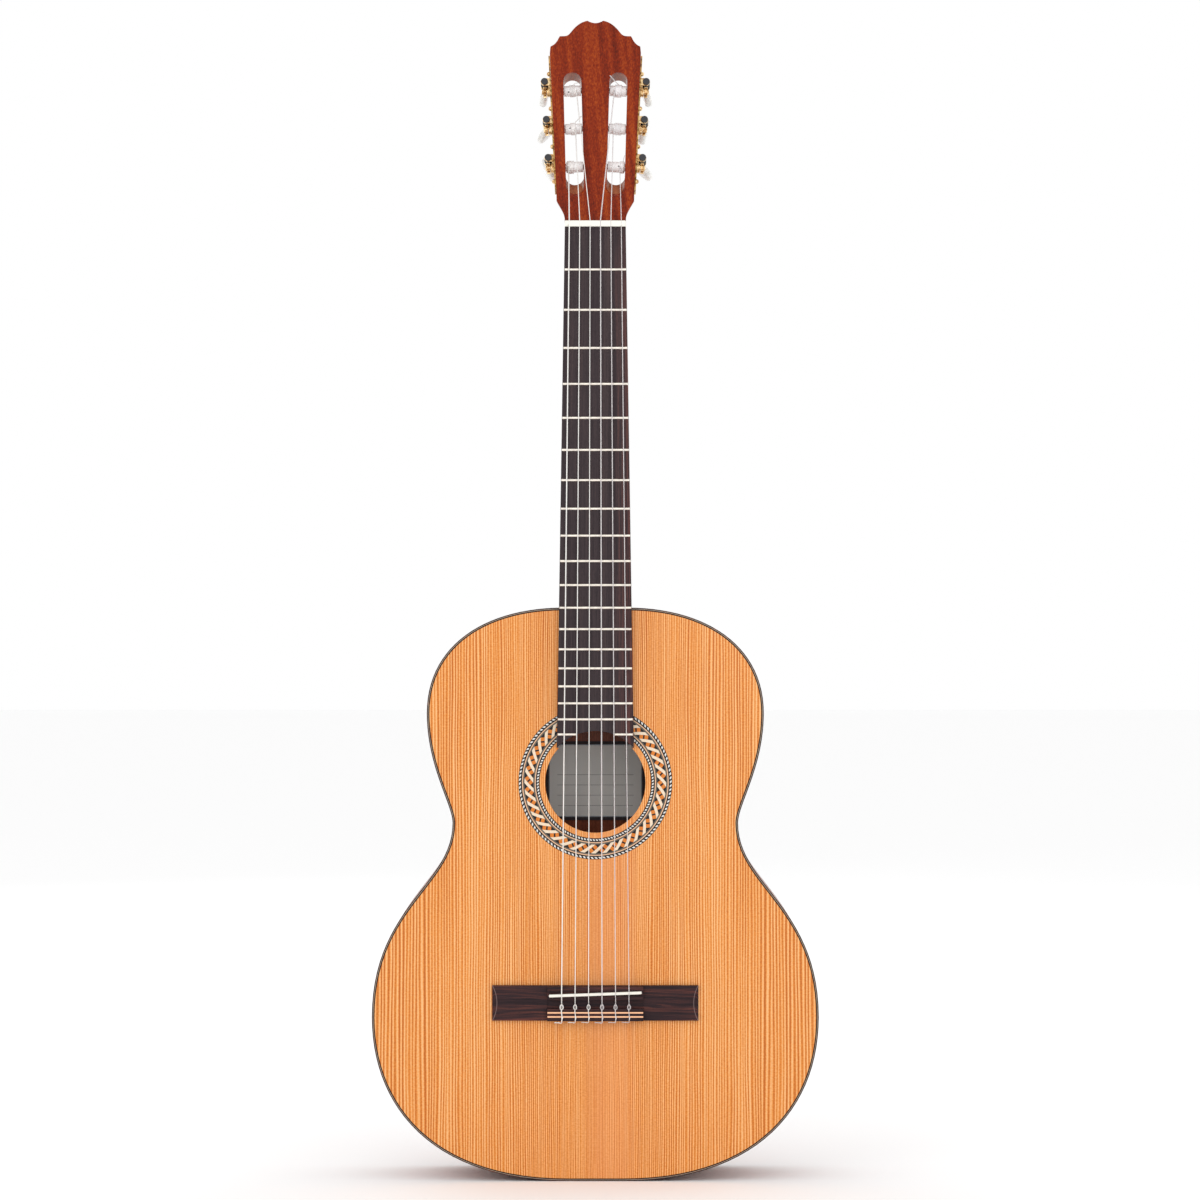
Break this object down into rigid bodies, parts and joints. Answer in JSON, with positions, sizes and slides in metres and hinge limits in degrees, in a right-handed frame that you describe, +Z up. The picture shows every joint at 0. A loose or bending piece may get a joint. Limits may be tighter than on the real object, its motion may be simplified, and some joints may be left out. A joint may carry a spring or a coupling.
{
  "type": "classical guitar",
  "caption": "Slotted-head classical guitar with a cedar top, mosaic rosette, tie-block bridge, nylon strings and working geared tuners.",
  "frame": {"origin": "middle of the flat tail edge, half-way through the body's depth; the guitar stands upright on its tail, as on a stand", "axes": "+Z up the neck towards the head, +X to the right of someone facing the strings, -Y out of the soundboard"},
  "size_m": [0.382, 0.1152, 0.9985],
  "materials": {
    "cedar_top": "glossy lacquered cedar, fine straight grain",
    "rosette_inlay": "inlaid veneer mosaic, lacquered",
    "mahogany_body": "glossy lacquered mahogany",
    "rosewood": "dark satin rosewood",
    "mahogany_neck": "glossy lacquered mahogany",
    "head_veneer": "glossy red-brown veneer",
    "spruce": "bare planed spruce",
    "label_paper": "plain ruled paper label",
    "fingerboard_ebony": "oiled dark wood with inlaid nickel frets",
    "bone": "polished bone",
    "maple_strip": "pale inlaid strip",
    "gold_metal": "gold-plated, polished",
    "white_nylon": "white plastic barrel",
    "black_steel": "blackened steel",
    "pearl_button": "pearloid",
    "wound_string": "silver-plated winding",
    "nylon_string": "clear nylon"
  },
  "bodies": {
    "root": {"soundboard": "cedar_top", "rosette": "rosette_inlay", "back_panel": "mahogany_body", "bass_side": "mahogany_body", "treble_side": "mahogany_body", "top_binding": "rosewood", "back_binding": "rosewood", "tail_graft": "rosewood", "tail_block": "mahogany_neck", "neck_block": "mahogany_neck", "label": "label_paper", "upper_transverse_brace": "spruce", "lower_transverse_brace": "spruce", "fan_brace_1": "spruce", "fan_brace_2": "spruce", "fan_brace_3": "spruce", "fan_brace_4": "spruce", "fan_brace_5": "spruce", "neck": "mahogany_neck", "heel_cap": "rosewood", "fingerboard": "fingerboard_ebony", "nut": "bone", "bridge": "rosewood", "tie_block_strip_upper": "maple_strip", "tie_block_strip_lower": "maple_strip", "saddle": "bone", "tuner_plate_bass": "gold_metal", "tuner_plate_treble": "gold_metal", "headstock": "mahogany_neck", "head_veneer": "head_veneer", "string_E6": "wound_string", "string_A5": "wound_string", "string_D4": "wound_string", "string_G3": "nylon_string", "string_B2": "nylon_string", "string_E1": "nylon_string"},
    "button_bass_1": {"worm_shaft_bass_1": "black_steel", "tuner_button_bass_1": "pearl_button"},
    "roller_bass_1": {"string_roller_bass_1": "white_nylon", "roller_gear_bass_1": "gold_metal"},
    "button_bass_2": {"worm_shaft_bass_2": "black_steel", "tuner_button_bass_2": "pearl_button"},
    "roller_bass_2": {"string_roller_bass_2": "white_nylon", "roller_gear_bass_2": "gold_metal"},
    "button_bass_3": {"worm_shaft_bass_3": "black_steel", "tuner_button_bass_3": "pearl_button"},
    "roller_bass_3": {"string_roller_bass_3": "white_nylon", "roller_gear_bass_3": "gold_metal"},
    "button_treble_1": {"worm_shaft_treble_1": "black_steel", "tuner_button_treble_1": "pearl_button"},
    "roller_treble_1": {"string_roller_treble_1": "white_nylon", "roller_gear_treble_1": "gold_metal"},
    "button_treble_2": {"worm_shaft_treble_2": "black_steel", "tuner_button_treble_2": "pearl_button"},
    "roller_treble_2": {"string_roller_treble_2": "white_nylon", "roller_gear_treble_2": "gold_metal"},
    "button_treble_3": {"worm_shaft_treble_3": "black_steel", "tuner_button_treble_3": "pearl_button"},
    "roller_treble_3": {"string_roller_treble_3": "white_nylon", "roller_gear_treble_3": "gold_metal"}
  },
  "joints": [
    {"name": "button_turn_bass_1", "type": "hinge", "parent": "root", "child": "button_bass_1", "pos_m": [-0.04399, -0.00294, 0.9426], "axis": [0, -0.9659, 0.2588], "continuous": true},
    {"name": "roller_turn_bass_1", "type": "hinge", "parent": "root", "child": "roller_bass_1", "pos_m": [-0.03794, -0.00473, 0.93592], "axis": [0.9988, 0.0125, 0.0468], "continuous": true},
    {"name": "button_turn_bass_2", "type": "hinge", "parent": "root", "child": "button_bass_2", "pos_m": [-0.04229, -0.012, 0.90879], "axis": [0, -0.9659, 0.2588], "continuous": true},
    {"name": "roller_turn_bass_2", "type": "hinge", "parent": "root", "child": "roller_bass_2", "pos_m": [-0.03625, -0.01379, 0.90211], "axis": [0.9988, 0.0125, 0.0468], "continuous": true},
    {"name": "button_turn_bass_3", "type": "hinge", "parent": "root", "child": "button_bass_3", "pos_m": [-0.04059, -0.02106, 0.87499], "axis": [0, -0.9659, 0.2588], "continuous": true},
    {"name": "roller_turn_bass_3", "type": "hinge", "parent": "root", "child": "roller_bass_3", "pos_m": [-0.03455, -0.02285, 0.86831], "axis": [0.9988, 0.0125, 0.0468], "continuous": true},
    {"name": "button_turn_treble_1", "type": "hinge", "parent": "root", "child": "button_treble_1", "pos_m": [0.04399, -0.00294, 0.9426], "axis": [0, 0.9659, -0.2588], "continuous": true},
    {"name": "roller_turn_treble_1", "type": "hinge", "parent": "root", "child": "roller_treble_1", "pos_m": [0.03794, -0.00473, 0.93592], "axis": [0.9988, -0.0125, -0.0468], "continuous": true},
    {"name": "button_turn_treble_2", "type": "hinge", "parent": "root", "child": "button_treble_2", "pos_m": [0.04229, -0.012, 0.90879], "axis": [0, 0.9659, -0.2588], "continuous": true},
    {"name": "roller_turn_treble_2", "type": "hinge", "parent": "root", "child": "roller_treble_2", "pos_m": [0.03625, -0.01379, 0.90211], "axis": [0.9988, -0.0125, -0.0468], "continuous": true},
    {"name": "button_turn_treble_3", "type": "hinge", "parent": "root", "child": "button_treble_3", "pos_m": [0.04059, -0.02106, 0.87499], "axis": [0, 0.9659, -0.2588], "continuous": true},
    {"name": "roller_turn_treble_3", "type": "hinge", "parent": "root", "child": "roller_treble_3", "pos_m": [0.03455, -0.02285, 0.86831], "axis": [0.9988, -0.0125, -0.0468], "continuous": true}
  ],
  "couplings": [
    {"joint": "roller_turn_bass_1", "follows": "button_turn_bass_1", "ratio": 0.071429},
    {"joint": "roller_turn_bass_2", "follows": "button_turn_bass_2", "ratio": 0.071429},
    {"joint": "roller_turn_bass_3", "follows": "button_turn_bass_3", "ratio": 0.071429},
    {"joint": "roller_turn_treble_1", "follows": "button_turn_treble_1", "ratio": 0.071429},
    {"joint": "roller_turn_treble_2", "follows": "button_turn_treble_2", "ratio": 0.071429},
    {"joint": "roller_turn_treble_3", "follows": "button_turn_treble_3", "ratio": 0.071429}
  ]
}
